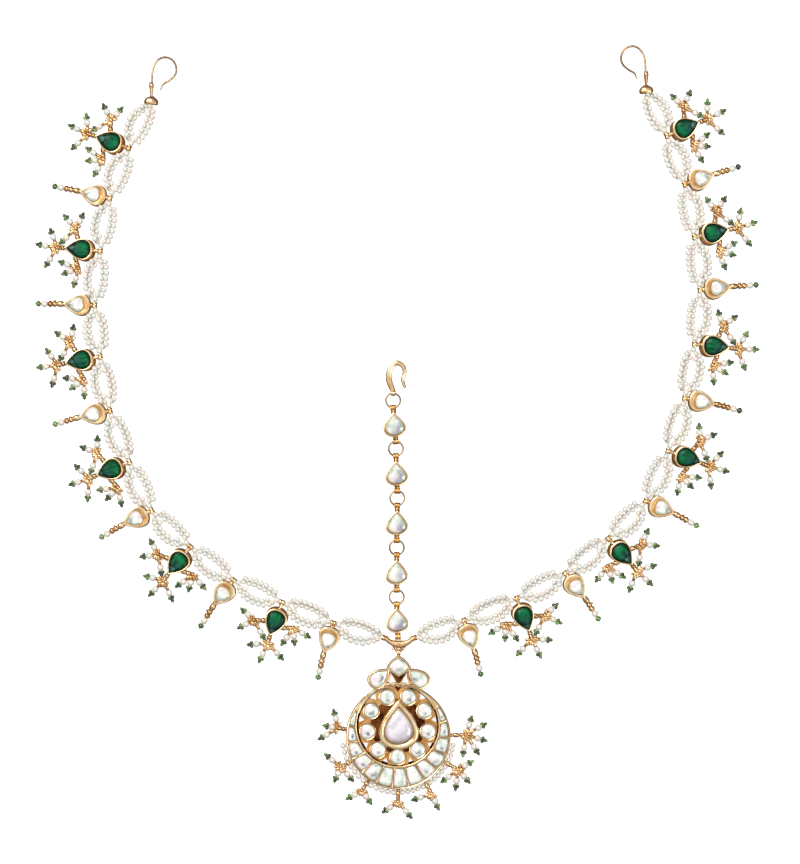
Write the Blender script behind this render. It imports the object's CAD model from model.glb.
"""A bridal hair jewel of gold, emeralds, uncut diamonds and seed pearls, laid out on a white table."""

import math
import random
from collections import namedtuple
from functools import partial

import bmesh
import bpy
import numpy as np
from mathutils import Matrix, Vector


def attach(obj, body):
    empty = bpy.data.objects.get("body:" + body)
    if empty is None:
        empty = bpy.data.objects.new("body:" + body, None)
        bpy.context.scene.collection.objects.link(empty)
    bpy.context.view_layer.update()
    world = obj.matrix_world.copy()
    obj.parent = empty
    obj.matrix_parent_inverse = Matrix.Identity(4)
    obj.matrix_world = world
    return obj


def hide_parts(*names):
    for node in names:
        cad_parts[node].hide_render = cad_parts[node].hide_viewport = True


bl_info = {
    "name": "Matha patti",
    "version": (1, 0, 0),
    "blender": (4, 5, 0),
    "location": "View3D > Sidebar > Jewel",
    "description": "Builds a bridal hair jewel of gold, emeralds, uncut diamonds and seed pearls",
    "category": "Object",
}

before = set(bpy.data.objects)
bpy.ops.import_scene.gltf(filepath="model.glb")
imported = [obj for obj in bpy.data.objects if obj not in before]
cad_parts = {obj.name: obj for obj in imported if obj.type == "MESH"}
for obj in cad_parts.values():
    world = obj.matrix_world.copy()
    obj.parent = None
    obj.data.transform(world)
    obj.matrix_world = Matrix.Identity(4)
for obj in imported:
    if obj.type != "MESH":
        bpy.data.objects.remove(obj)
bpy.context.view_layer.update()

# Lengths below are in millimetres, in the plan that the goldsmith drew; the middle of that plan lies
# MIDDLE away from the point under which the jewel's origin is set.
MM = 0.001
MIDDLE = Vector((-0.54, 0.13, 0))

# Where each motif's eyelet lies and which way the motif points: x, y, direction, lean of the tassel.
# Emerald and diamond motifs take turns.
LEFT_MOTIFS = [
    (-97.2, 102, 160, 0),
    (-104, 84, 167, 2),
    (-107.5, 65, 175, 0),
    (-109.5, 45.5, 178, 1),
    (-107.5, 27, 191, 0),
    (-104, 7.5, 192, 4),
    (-97, -11, 202, 0),
    (-89, -28.5, 206, 4),
    (-75, -41.5, 231, 0),
    (-59.5, -53.5, 232, 6),
    (-42, -61.5, 250, 0),
    (-23.5, -69, 252, 5),
]
RIGHT_MOTIFS = [
    (96.5, 106.5, 22.5, 0),
    (103, 89, 19, -2),
    (106.5, 70, 12.5, 0),
    (108.5, 51, 6, -2),
    (106.5, 31.5, -6, 0),
    (103, 12, -11, -4),
    (97, -7, -20, 0),
    (89, -25, -24, -4),
    (75.5, -38.5, -48, 0),
    (60, -51, -52, -5),
    (42.5, -60, -69, 0),
    (23.5, -68, -71, -4),
]
# Each half of the jewel: name, hand, bell cap, motifs, end of the yoke
Half = namedtuple("Half", "name hand cap motifs yoke")
HALVES = [
    Half("left", -1, Vector((-89, 119)), LEFT_MOTIFS, Vector((-5.5, -74.2))),
    Half("right", 1, Vector((89, 123)), RIGHT_MOTIFS, Vector((6, -74.2))),
]

# One pearl loop's form, as shares: place along the span, reach of the inner pair of strings, of the
# outer pair, and size of the bundle
LOOP_FORM = [
    (0, 0, 0, 0),
    (0.17, 0.46, 0.32, 0.75),
    (0.31, 0.86, 0.8, 1),
    (0.5, 1, 1, 1),
    (0.69, 0.86, 0.8, 1),
    (0.83, 0.46, 0.32, 0.75),
    (1, 0, 0, 0),
]

# An emerald motif's three tassels: the stem's root, as shares of the bezel's length and half width,
# and from that root the cap and the ends of its wires
EMERALD_TASSELS = [
    ((0.51, 0.57), (1.5, 5.1), [(5.7, 9), (-0.5, 10.1), (6.3, -0.3)]),
    ((0.95, 0), (3.2, -0.2), [(5.9, 5.7), (9.9, 0.4), (6.5, -6.7)]),
    ((0.63, -0.52), (-1.9, -4.9), [(-0.8, -11), (3.1, -7.2), (4.6, -3.2)]),
]

# The hook wires from inside the collar of the bell cap to the free end: x, y, height as a share
HOOK_WIRE = [
    (0, 4.5, 1),
    (0.2, 7.5, 0.94),
    (0.3, 9.6, 0.82),
    (0.9, 12.6, 0.59),
    (2.6, 15, 0.3),
    (5, 15.8, 0.12),
    (7.6, 14.7, 0),
    (8.9, 12, 0),
    (8.4, 9.4, 0),
    (6.3, 7.4, 0),
    (4.2, 6.1, 0.06),
    (3.2, 4, 0.18),
]

# The middles of the chain's rings, and the flat centre hook: x, y, width
CHAIN_RINGS = [(-2, 11.2), (-1, -6.2), (-0.5, -24), (-0.7, -41.8), (-0.7, -59.6)]
CHAIN_HOOK = [
    (-2, 14.5, 1.9),
    (-3.1, 17.2, 2.2),
    (-3.6, 19.6, 2.2),
    (-3, 22.6, 2),
    (-0.8, 24.7, 1.9),
    (1.5, 23.6, 1.7),
    (2.1, 21.2, 1.5),
    (1.4, 18.6, 1.3),
    (2.2, 16, 1.1),
]
YOKE_TOP_LOOP = Vector((-0.3, -74.8))
YOKE_LOW_LOOP = Vector((0, -78.6))
# The yoke from tip to tip: place across as a share, drop below the tips, depth as a share
YOKE_FORM = [
    (0, 0, 0.42),
    (0.05, 0.3, 0.5),
    (0.25, 1.9, 0.72),
    (0.5, 2.6, 1),
    (0.75, 1.9, 0.72),
    (0.95, 0.3, 0.5),
    (1, 0, 0.42),
]

# The pendant's middle, and from there the open circle, the petals, the centre stone and the crown
PENDANT = Vector((-0.2, -109.9))
CIRCLE = Vector((-0.2, 4.195))
PETALS = Vector((-0.1, 3.895))
PETAL_START = 270
CENTRE_FOOT = Vector((0.2, -4.325))
CROWN_TOP = Vector((0.2, 29.2))
CROWN_SIDE = Vector((-4.2, 24.9))
CROWN_FOOT = Vector((0.2, 17.6))
CROWN_DROP_TIP = Vector((-3.3, 24.5))
CROWN_DROP_TURN = 222
# The tassels round the rim: direction, the cap's distance from the rim, and from the cap the ends
# of its wires
RIM_TASSELS = [
    (171.8, 2.9, [(-1.5, 5.8), (-4.6, 0.8), (-6.3, -3.6)]),
    (207.7, 4.4, [(-5, 4), (-2, -4.6), (3.9, -4.5)]),
    (236, 4.4, [(-4.8, -2.7), (2.9, -4.2)]),
    (270, 4.5, [(-4.9, -3.4), (4.3, -5.2)]),
    (300.6, 5, [(-6.4, -2), (2.1, -4.9)]),
    (331.4, 5.7, [(-5.4, -4.1), (-0.9, -6.6), (3.6, -4.2), (4.6, 2.6)]),
    (361.6, 5.5, [(1.9, 5.9), (6.6, 3.7), (6.6, -1.9), (4.2, -6.3), (-1, -6.9)]),
]
EDGE_FROM = 186
EDGE_SWEEP = 168

# A pear stone in its bezel: length, width, bezel's wall with its clearance, bezel's height, table,
# and how far from its origin the bezel starts
Stone = namedtuple("Stone", "length width out bezel_h top start")
EMERALD = Stone(8.7, 6.6, 0.58, 3.2, 4.2, 2.76)
POLKI = Stone(7.4, 5.7, 0.93, 3.0, 3.9, 1.66)
DROP = Stone(7.2, 6.9, 0.68, 2.6, 3.4, 0)
CENTRE = Stone(15.2, 12.2, 1.03, 4.4, 5.4, 0)
CROWN_DROP = Stone(6.8, 4.6, 1.08, 3.4, 3.9, 0)

# A bezel's outline gains this many times its wall's width in length
TIP_SHARE = 2.45
# The greatest value of sin(t) sin(t / 2), by which a pear's half width is divided
PEAR_SPAN = 0.77
# Share of its bezel's length that a strand's diamond leaves to a band of gold at the round end
POLKI_DRAWN = 0.15
FLOOR_H = 0.9
# A stone's base lies here, and its girdle this far below its bezel's rim
STONE_BASE = FLOOR_H + 0.08
GIRDLE_DROP = 0.3
# The middles of an outline's sides lie at this share of its corners' distance, with about 18 sides
SIDE_SHARE = 0.985
# The pendant's smaller stones rise this far above their bezels
STONE_RISE = 0.5
EYELET_Z = 1.4
EYELET_R = 1.06
EYELET_LEN = 2.0
BORE_R = 0.66
WIRE_Z = 1.25
# A tassel pearl's middle lies this far back from its wire's end
PEARL_BACK = 2.45
TIP_BEAD_R = 0.26

# The strings: half the gap between threads in an eyelet, how close the pearls sit, how far the upper
# string of a pair lies above the lower one, where the single pearl beside an eyelet lies, and the bare
# thread after the bell cap, beside an eyelet and before the yoke
THREAD_GAP = 0.33
SEED_PITCH = 0.985
UPPER_RISE = 1.15
SINGLE_AT = EYELET_LEN / 2 + 0.98
CAP_LEAD = 2.9
EYELET_LEAD = 3.3
YOKE_LEAD = 2.2
# Rounds in which crowded pearls are moved apart, and a distance at which a pearl never pushes
LOOSE_ROUNDS = 90
FAR = 99

LOOP_Z = 1.1
LOOP_R = 0.85
LOOP_WIRE_R = 0.25
YOKE_LOOP_R = 0.95
RING_D = 5.2
DISC_R = 18.9
DISC_H = 3.2
CIRCLE_R = 14.7
RIM_W = 0.8
CRESCENT_COUNT = 13
CRESCENT_END_W = 0.6
PARTITION_W = 0.35
PETAL_COUNT = 9
PETAL_RING_R = 11.0
PETAL_R = 2.4
PETAL_OUT = 0.83
PETAL_H = 3.4
PLATE_H = 1.44
CROWN_H = 3.4
CROWN_OUT = 0.7

# The golds, counted in the order of a goldwork piece's materials
GOLD, RECESS, SHEET, LEAF, WIRE = range(5)
GOLDS = ("burnished_gold", "deep_gold", "sheet_gold", "leaf_gold", "wire_gold")
# The angle in degrees above which edges stay sharp, by a piece's first material
SHARP_ABOVE = {
    "burnished_gold": 38,
    "emerald_foiled": 6,
    "foiled_diamond": 14,
    "foiled_diamond_rose": 14,
    "foiled_diamond_drop": 14,
    "foiled_diamond_centre": 24,
    "nacre": 60,
    "green_glass": 60,
    "silk_thread": 60,
}
# Where each of a diamond's tints is fullest in the pattern over its foil, and the tints in that order:
# grey in the pattern's two extremes and nearly white between them
FOIL_STOPS = (0.28, 0.4, 0.5, 0.58, 0.66, 0.78)
WATERY = ("A8B2B8", "D4E2D4", "F4F3EC", "FAEEEC", "E8D2DA", "CCD0D6")
LILAC = ("B9B6BE", "D6D0D8", "EAE6EC", "F0E2EE", "E2DEE4", "CBC8CE")
MULTIPLIED = {"data_type": "RGBA", "blend_type": "MULTIPLY"}


def linear(colour):
    """An sRGB hex colour as the linear colour that shaders take; one from the sidebar is linear."""
    if not isinstance(colour, str):
        return tuple(colour)
    parts = [int(colour[i:i + 2], 16) / 255 for i in (0, 2, 4)]
    return tuple(c / 12.92 if c <= 0.04045 else ((c + 0.055) / 1.055) ** 2.4 for c in parts) + (1.0,)


class JewelSizes(bpy.types.PropertyGroup):
    """Sizes that a goldsmith or a stringer would change."""

    seed_pearl: bpy.props.FloatProperty(
        name="Seed pearl", description="Diameter of a seed pearl", default=0.0021,
        min=0.0019, max=0.0023, unit="LENGTH")
    tassel_pearl: bpy.props.FloatProperty(
        name="Tassel pearl", description="Diameter of a tassel's pearl", default=0.00245,
        min=0.002, max=0.0026, unit="LENGTH")
    drop_pearl: bpy.props.FloatProperty(
        name="Drop pearl", description="Diameter of the pearl below a diamond", default=0.0025,
        min=0.0022, max=0.0027, unit="LENGTH")
    green_bead: bpy.props.FloatProperty(
        name="Green bead", description="Diameter of a green glass bead", default=0.0014,
        min=0.001, max=0.0016, unit="LENGTH")
    wire: bpy.props.FloatProperty(
        name="Tassel wire", description="Diameter of a tassel's wire", default=0.0005,
        min=0.0004, max=0.0006, unit="LENGTH")
    thread: bpy.props.FloatProperty(
        name="Thread", description="Diameter of the thread in a string of pearls", default=0.0003,
        min=0.0002, max=0.0005, unit="LENGTH")


class JewelColours(bpy.types.PropertyGroup):
    """Colours of the metal, the stones and the pearls."""

    gold: bpy.props.FloatVectorProperty(
        name="Gold", description="Colour of the burnished gold", subtype="COLOR", size=4,
        min=0, max=1, default=linear("F2DCB4"))
    recess: bpy.props.FloatVectorProperty(
        name="Deep gold", description="Colour of the gold inside pierced work", subtype="COLOR", size=4,
        min=0, max=1, default=linear("7E4A24"))
    emerald: bpy.props.FloatVectorProperty(
        name="Emerald", description="Colour of the emeralds' body", subtype="COLOR", size=4,
        min=0, max=1, default=linear("00603A"))
    glass: bpy.props.FloatVectorProperty(
        name="Green glass", description="Colour of the green glass beads", subtype="COLOR", size=4,
        min=0, max=1, default=linear("2C5A2A"))
    pearl: bpy.props.FloatVectorProperty(
        name="Pearl", description="Colour of the pearls", subtype="COLOR", size=4,
        min=0, max=1, default=linear("E9E5DD"))


class StudioSettings(bpy.types.PropertyGroup):
    """The table and the lamps."""

    lens: bpy.props.FloatProperty(
        name="Lens", description="Focal length of the camera, in millimetres", default=200,
        min=50, max=300)
    frame_height: bpy.props.FloatProperty(
        name="Frame height", description="Height that the picture takes in at the jewel",
        default=0.31104, min=0.2, max=0.5, unit="LENGTH")
    key_power: bpy.props.FloatProperty(
        name="Key lamp", description="Power of the large soft lamp", default=16, min=1, max=80,
        unit="POWER")
    sky: bpy.props.FloatProperty(
        name="Room", description="Strength of the light from the white room", default=0.95,
        min=0, max=3)


SETTINGS = [JewelSizes, JewelColours, StudioSettings]


class Shape:
    """A closed shape's points and faces, with a pattern's place and a depth for each point."""

    def __init__(self, bm, finish=GOLD):
        bmesh.ops.recalc_face_normals(bm, faces=bm.faces)
        bm.verts.index_update()
        marks = bm.verts.layers.float_color.get("cut")
        self.points = np.array([v.co for v in bm.verts])
        self.faces = [tuple(v.index for v in f.verts) for f in bm.faces]
        self.finish = [finish] * len(self.faces)
        self.marks = np.array([v[marks] for v in bm.verts]) if marks else np.zeros((len(self.points), 4))
        bm.free()


class Heap:
    """Shapes gathered into one piece."""

    def __init__(self):
        self.points = []
        self.faces = []
        self.finish = []
        self.marks = []
        self.tones = []
        self.count = 0

    def add(self, shape, place=Matrix(), tone=0.5):
        """Sets a shape in place; a mirrored one keeps its faces outwards. Returns the heap."""
        m = np.array(place)
        self.points.append(shape.points @ m[:3, :3].T + m[:3, 3])
        back = np.linalg.det(m[:3, :3]) < 0
        for face in shape.faces:
            turned_face = face[::-1] if back else face
            self.faces.append([i + self.count for i in turned_face])
        self.finish += shape.finish
        self.marks.append(shape.marks)
        self.tones.append(np.full(len(shape.points), tone))
        self.count += len(shape.points)
        return self

    def piece(self, name, slot, replaced, *finishes):
        """Makes the object: its place goes into its mesh, in metres from the jewel's origin. Goldwork
        gives no finishes and has all the golds."""
        finishes = finishes or GOLDS
        points = (np.vstack(self.points) - np.array(MIDDLE)) * MM
        mesh = bpy.data.meshes.new(name)
        mesh.from_pydata(points.tolist(), [], self.faces)
        mesh.polygons.foreach_set("material_index", self.finish)
        marks = np.vstack(self.marks)
        corners = np.zeros(len(mesh.loops), np.int32)
        mesh.loops.foreach_get("vertex_index", corners)
        uv = mesh.uv_layers.new(name="cut")
        uv.data.foreach_set("uv", marks[corners][:, :2].astype(np.float32).ravel())
        tones = np.concatenate(self.tones)
        colours = np.column_stack([marks[:, 2], tones, marks[:, 3], np.ones(len(tones))])
        layer = mesh.color_attributes.new("tone", "FLOAT_COLOR", "POINT")
        layer.data.foreach_set("color", colours.astype(np.float32).ravel())
        for finish in finishes:
            mesh.materials.append(materials()[finish])
        mesh.shade_smooth()
        mesh.set_sharp_from_angle(angle=math.radians(SHARP_ABOVE[finishes[0]]))
        obj = bpy.data.objects.new(name, mesh)
        bpy.context.scene.collection.objects.link(obj)
        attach(obj, "root")
        if replaced:
            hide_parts(replaced)


def flat(p, z=0):
    """A point in plan as a point in space at a height."""
    return Vector((p[0], p[1], z))


def heading(way):
    return math.atan2(way[1], way[0])


def polar(r, degrees):
    a = math.radians(degrees)
    return Vector((r * math.cos(a), r * math.sin(a)))


def turn(degrees):
    return Matrix.Rotation(math.radians(degrees), 4, "Z")


def shift(x, y, z=0):
    return Matrix.Translation((x, y, z))


def tilted(way):
    """The turn that lays the Z axis along a way."""
    return way.to_track_quat("Z", "Y").to_matrix().to_4x4()


def aimed(start, end):
    """The matrix that lays the Z axis from one point towards another, with its middle halfway."""
    return Matrix.Translation((start + end) / 2) @ tilted(end - start)


def mean(points):
    """The middle of some points."""
    return sum(points, Vector()) / len(points)


def motif_place(spot, hand):
    """A motif points along +X with the hook end of its strand at +Y."""
    return shift(spot[0], spot[1]) @ turn(spot[2]) @ Matrix.Diagonal((1, hand, 1, 1))


def ball(bm, at, r, sides=12, rings=8, form=Matrix()):
    place = Matrix.Translation(at) @ form
    bmesh.ops.create_uvsphere(bm, u_segments=sides, v_segments=rings, radius=r, matrix=place)


def rod(bm, start, end, r, r_end=None, sides=12):
    bmesh.ops.create_cone(
        bm, cap_ends=True, segments=sides, radius1=r, radius2=r if r_end is None else r_end,
        depth=(end - start).length, matrix=aimed(start, end))


def spun(bm, profile, place, steps, closed=True):
    """Turns a profile of (radius, height) round its Z axis."""
    verts = [bm.verts.new((r, 0, z)) for r, z in profile]
    edges = [bm.edges.new(pair) for pair in zip(verts, verts[1:])]
    if closed:
        edges.append(bm.edges.new((verts[-1], verts[0])))
    made = set(bm.verts) - set(verts)
    bmesh.ops.spin(
        bm, geom=verts + edges, axis=(0, 0, 1), cent=(0, 0, 0), angle=math.tau, steps=steps,
        use_merge=True)
    fresh = [v for v in bm.verts if v not in made]
    bmesh.ops.remove_doubles(bm, verts=fresh, dist=0.001)
    fresh = [v for v in bm.verts if v not in made]
    bmesh.ops.transform(bm, matrix=place, verts=fresh)
    return fresh


def torus(bm, place, r, wire, steps, sides, wide=1):
    """A ring of wire; wide stretches the wire's section along the ring's axis."""
    section = [
        (r + wire * math.cos(math.tau * i / sides), wire * wide * math.sin(math.tau * i / sides))
        for i in range(sides)
    ]
    spun(bm, section, place, steps)


def skin(bm, rings, marks=None, hoop=False):
    """Extrudes a closed outline through rings of points, then closes its ends or, for a hoop, joins the
    last ring to the first."""
    verts = bmesh.ops.create_circle(bm, segments=len(rings[0]), radius=1)["verts"]
    verts.sort(key=lambda v: math.atan2(v.co.y, v.co.x))
    layer = bm.verts.layers.float_color.get("cut")

    def loop_edges():
        return [bm.edges.get((verts[i - 1], verts[i])) for i in range(len(verts))]

    def settle(k):
        for i, (vert, point) in enumerate(zip(verts, rings[k])):
            vert.co = point
            if marks:
                vert[layer] = marks[k][i]

    settle(0)
    low = edges = loop_edges()
    for k in range(1, len(rings)):
        made = bmesh.ops.extrude_edge_only(bm, edges=edges)["geom"]
        fresh = {g for g in made if isinstance(g, bmesh.types.BMVert)}
        verts = [next(e.other_vert(v) for e in v.link_edges if e.other_vert(v) in fresh) for v in verts]
        settle(k)
        edges = loop_edges()
    if hoop:
        bmesh.ops.bridge_loops(bm, edges=low + edges)
        return
    bmesh.ops.contextual_create(bm, geom=low)
    bmesh.ops.contextual_create(bm, geom=edges)


def smooth_path(rows, per):
    """A smooth curve through rows of numbers, with a few rows added between each two."""
    rows = np.array(rows, float)
    ends = np.vstack([2 * rows[0] - rows[1], rows, 2 * rows[-1] - rows[-2]])
    out = []
    for i in range(1, len(ends) - 2):
        a, b, c, d = ends[i - 1:i + 3]
        for k in range(per):
            t = k / per
            out.append(
                0.5 * (2 * b + (c - a) * t + (2 * a - 5 * b + 4 * c - d) * t * t
                       + (3 * b - a - 3 * c + d) * t ** 3))
    out.append(rows[-1])
    return np.array(out)


def along(path, distances):
    """Points at the given distances along a path."""
    steps = np.linalg.norm(np.diff(path, axis=0), axis=1)
    reach = np.concatenate([[0], np.cumsum(steps)])
    return np.column_stack([np.interp(distances, reach, path[:, k]) for k in range(path.shape[1])])


def path_length(path):
    return float(np.linalg.norm(np.diff(path, axis=0), axis=1).sum())


def tube(bm, path, half_w, half_h=None, *, sides):
    """A wire along a path; its half width and half height may change along the way."""
    path = [Vector(p) for p in path]
    count = len(path)
    half_w = [half_w] * count if np.isscalar(half_w) else half_w
    half_h = half_w if half_h is None else [half_h] * count if np.isscalar(half_h) else half_h
    rings = []
    for i, point in enumerate(path):
        run = (path[min(i + 1, count - 1)] - path[max(i - 1, 0)]).normalized()
        across = Vector((-run.y, run.x, 0)).normalized()
        up = run.cross(across)
        rings.append([
            point + across * half_w[i] * math.cos(math.tau * k / sides)
            + up * half_h[i] * math.sin(math.tau * k / sides)
            for k in range(sides)
        ])
    skin(bm, rings)


# Outlines. Each is a function of how far it lies outside the stone's girdle.


def bezel_length(stone):
    return stone.length + TIP_SHARE * stone.out


def pear_edge(stone, sides=48):
    """A pear with its point along +X."""

    def edge(out):
        start = stone.start + stone.out - out
        length = stone.length + TIP_SHARE * out
        points = []
        for i in range(sides):
            t = math.tau * i / sides
            x = start + length * (1 + math.cos(t)) / 2
            y = (stone.width / 2 + out) * math.sin(t) * math.sin(t / 2) / PEAR_SPAN
            points.append(Vector((x, y, 0)))
        return points

    return edge


def grown_edge(outline):
    """Any outline, moved outwards along its own corners."""

    def edge(out):
        count = len(outline)
        points = []
        for i, p in enumerate(outline):
            before = (p - outline[i - 1]).normalized()
            after = (outline[(i + 1) % count] - p).normalized()
            a = Vector((before.y, -before.x, 0))
            b = Vector((after.y, -after.x, 0))
            points.append(p + (a + b) * out / max(1 + a.dot(b), 0.5))
        return points

    return edge


def lifted(points, z):
    return [Vector((p.x, p.y, z)) for p in points]


def slab(bm, outline, low, high):
    """A plate of one thickness between two heights."""
    skin(bm, [lifted(outline, low), lifted(outline, high)])


def shrunk(points, share, about):
    return [about + (p - about) * share for p in points]


def half_step(points):
    """The middles of an outline's sides."""
    return [(p + points[(i + 1) % len(points)]) / 2 for i, p in enumerate(points)]


def drawn_edge(edge, share):
    """A pear's outline, drawn away from its round end towards its point by a share of its length."""

    def drawn(out):
        points = edge(out)
        tip = max(p.x for p in points)
        return [Vector((tip - (tip - p.x) * (1 - share), p.y, p.z)) for p in points]

    return drawn


def cup(bm, edge, profile, hoop=False):
    """A bezel: its wall follows a profile in and down to a floor. Its points are (distance outside the
    girdle, height) and, where it isn't 0, the share by which the outline is drawn towards its point."""
    rings = []
    for row in profile:
        out, z, share = (*row, 0)[:3]
        rings.append(lifted(drawn_edge(edge, share)(out), z))
    skin(bm, rings, hoop=hoop)


def gem(edge, rim_z, table_z, grown, drop=GIRDLE_DROP, base_z=STONE_BASE, shares=(0.84, 0.6, 0.28),
        finish=0):
    """A cut stone: base, girdle, two rows of facets and a slightly domed table. Each point is marked
    with its place across the stone and how near the girdle it lies."""
    bm = bmesh.new()
    bm.verts.layers.float_color.new("cut")
    outline = edge(grown)
    about = mean(outline)
    girdle_z = rim_z - drop
    rise = table_z - girdle_z
    rings = [
        lifted(shrunk(outline, 0.6, about), base_z),
        lifted(outline, (base_z + girdle_z) / 2),
        lifted(outline, girdle_z),
        lifted(shrunk(half_step(outline), shares[0] / SIDE_SHARE, about), girdle_z + 0.55 * rise),
        lifted(shrunk(outline, shares[1], about), table_z - 0.1 * rise),
        lifted(shrunk(outline, shares[2], about), table_z),
    ]
    low = [min(p[k] for p in outline) for k in (0, 1)]
    high = [max(p[k] for p in outline) for k in (0, 1)]
    depth = [1, 1, 1, 0.55, 0.2, 0]
    marks = [
        [((p.x - low[0]) / (high[0] - low[0]), (p.y - low[1]) / (high[1] - low[1]), near, 0) for p in ring]
        for ring, near in zip(rings, depth)
    ]
    skin(bm, rings, marks=marks)
    return Shape(bm, finish)


def bead_shape(r, sides, rings, squash=1.0):
    bm = bmesh.new()
    form = Matrix.Diagonal((1, 1, squash, 1))
    bmesh.ops.create_uvsphere(bm, u_segments=sides, v_segments=rings, radius=r, matrix=form)
    return Shape(bm)


def fill(tree, made, inputs):
    """Gives each input of a node its value, or the socket that feeds it."""
    for socket, value in inputs.items():
        if isinstance(value, bpy.types.NodeSocket):
            tree.links.new(value, made.inputs[socket])
        else:
            made.inputs[socket].default_value = value


def add_node(tree, kind, inputs=None, stops=(), **settings):
    """Adds a node with its settings, its inputs and, for a ramp, its stops of (place, colour), and
    returns its outputs."""
    made = tree.nodes.new(kind)
    for name, value in settings.items():
        setattr(made, name, value)
    fill(tree, made, inputs or {})
    if stops:
        elements = made.color_ramp.elements
        for element, (place, colour) in zip(elements, (stops[0], stops[-1])):
            element.position, element.color = place, linear(colour)
        for place, colour in stops[1:-1]:
            elements.new(place).color = linear(colour)
    return made.outputs


def new_material(name):
    """Starts a material; returns what adds a node to it and what sets its shader's inputs."""
    material = bpy.data.materials.new(name)
    material.use_nodes = True
    tree = material.node_tree
    return partial(add_node, tree), partial(fill, tree, tree.nodes["Principled BSDF"])


def mottled(add, size_mm, detail, rough=0.5):
    """Noise whose features are about this many millimetres wide."""
    place = add("ShaderNodeTexCoord")["Object"]
    settings = {"Vector": place, "Scale": 1 / (size_mm * MM), "Detail": detail, "Roughness": rough}
    return add("ShaderNodeTexNoise", settings)["Fac"]


def tone_channels(add):
    """Red: nearness to a stone's girdle. Green: the shape's own tone."""
    layer = add("ShaderNodeVertexColor", layer_name="tone")
    return add("ShaderNodeSeparateColor", {"Color": layer["Color"]})


def gold_material(name, colour, worn, rough):
    """22 carat gold, raised by hand and burnished: warm, with soft tool marks and dull hollows."""
    add, finish = new_material(name)
    drift = mottled(add, 3.5, 2)
    marks = mottled(add, 0.45, 4, 0.6)
    base = add("ShaderNodeValToRGB", {"Fac": drift}, [(0.35, worn), (0.62, colour)])
    gloss = add("ShaderNodeMapRange", {"Value": marks, "From Min": 0.3, "From Max": 0.7,
                                       "To Min": rough * 0.75, "To Max": rough * 1.35})
    bump = add("ShaderNodeBump", {"Height": marks, "Strength": 0.22, "Distance": 0.08 * MM})
    finish({"Base Color": base["Color"], "Roughness": gloss["Result"], "Normal": bump["Normal"],
            "Metallic": 1.0})


def pearl_material(colour):
    """Drilled river pearls: layered nacre, milky with a wet gloss, no two quite the same white."""
    add, finish = new_material("nacre")
    clouds = mottled(add, 1.6, 3)
    tint = add("ShaderNodeValToRGB", {"Fac": tone_channels(add)["Green"]},
               [(0.0, "ECDFDA"), (0.35, colour), (0.7, "E0E4E2"), (1.0, "EEE9D8")])["Color"]
    clouded = add("ShaderNodeMix", {0: clouds, 6: tint, 7: linear("D5CFC2")}, **MULTIPLIED)[2]
    softened = add("ShaderNodeMix", {0: 0.35, 6: tint, 7: clouded}, data_type="RGBA")[2]
    bump = add("ShaderNodeBump", {"Height": clouds, "Strength": 0.12, "Distance": 0.1 * MM})
    finish({"Base Color": softened, "Normal": bump["Normal"], "Roughness": 0.3, "IOR": 1.53,
            "Coat Weight": 0.7, "Coat Roughness": 0.07, "Coat IOR": 1.6, "Subsurface Weight": 0.25,
            "Subsurface Radius": (1.0, 0.9, 0.8), "Subsurface Scale": 0.0006, "Sheen Weight": 0.05})


def emerald_material(body):
    """Foiled emerald: black green at the girdle, teal grey towards the point, lit inside the round end."""
    add, finish = new_material("emerald_foiled")
    uv = add("ShaderNodeUVMap", uv_map="cut")["UV"]
    tones = tone_channels(add)
    own = add("ShaderNodeCombineXYZ", {"X": tones["Green"], "Y": tones["Green"]})["Vector"]
    place = add("ShaderNodeVectorMath", {0: uv, 1: own}, operation="ADD")["Vector"]
    veil = add("ShaderNodeMapping", {"Vector": place, "Scale": (1.0, 3.2, 1), "Rotation": (0, 0, 0.5)})
    streaks = add("ShaderNodeTexNoise", {"Vector": veil["Vector"], "Scale": 2.0, "Detail": 2,
                                         "Roughness": 0.5, "Distortion": 0.5})["Fac"]
    warp = add("ShaderNodeTexNoise", {"Vector": place, "Scale": 1.6, "Detail": 1})["Fac"]
    along_stone = add("ShaderNodeSeparateXYZ", {"Vector": uv})["X"]
    bent = add("ShaderNodeMath", {0: warp, 1: 0.5, 2: along_stone}, operation="MULTIPLY_ADD")[0]
    green = add("ShaderNodeValToRGB", {"Fac": bent}, [
        (0.2, "00643C"), (0.42, "007848"), (0.62, body), (0.85, "1E5A4C"), (1.05, "4A7A70"),
        (1.3, "0A2C24")])
    lit = add("ShaderNodeValToRGB", {"Fac": streaks},
              [(0.36, "55756A"), (0.55, "FFFFFF"), (0.7, "B8E8D0")])
    inside = add("ShaderNodeMix", {0: 0.8, 6: green["Color"], 7: lit["Color"]}, **MULTIPLIED)[2]
    edge = add("ShaderNodeValToRGB", {"Fac": tones["Red"]},
               [(0.2, "FFFFFF"), (0.6, "6A8078"), (0.9, "0E2018")])["Color"]
    base = add("ShaderNodeMix", {0: 1.0, 6: inside, 7: edge}, **MULTIPLIED)[2]
    finish({"Base Color": base, "Roughness": 0.3, "IOR": 1.45, "Specular IOR Level": 0.12,
            "Coat Weight": 0.12, "Coat Roughness": 0.1, "Coat IOR": 1.45})


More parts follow.
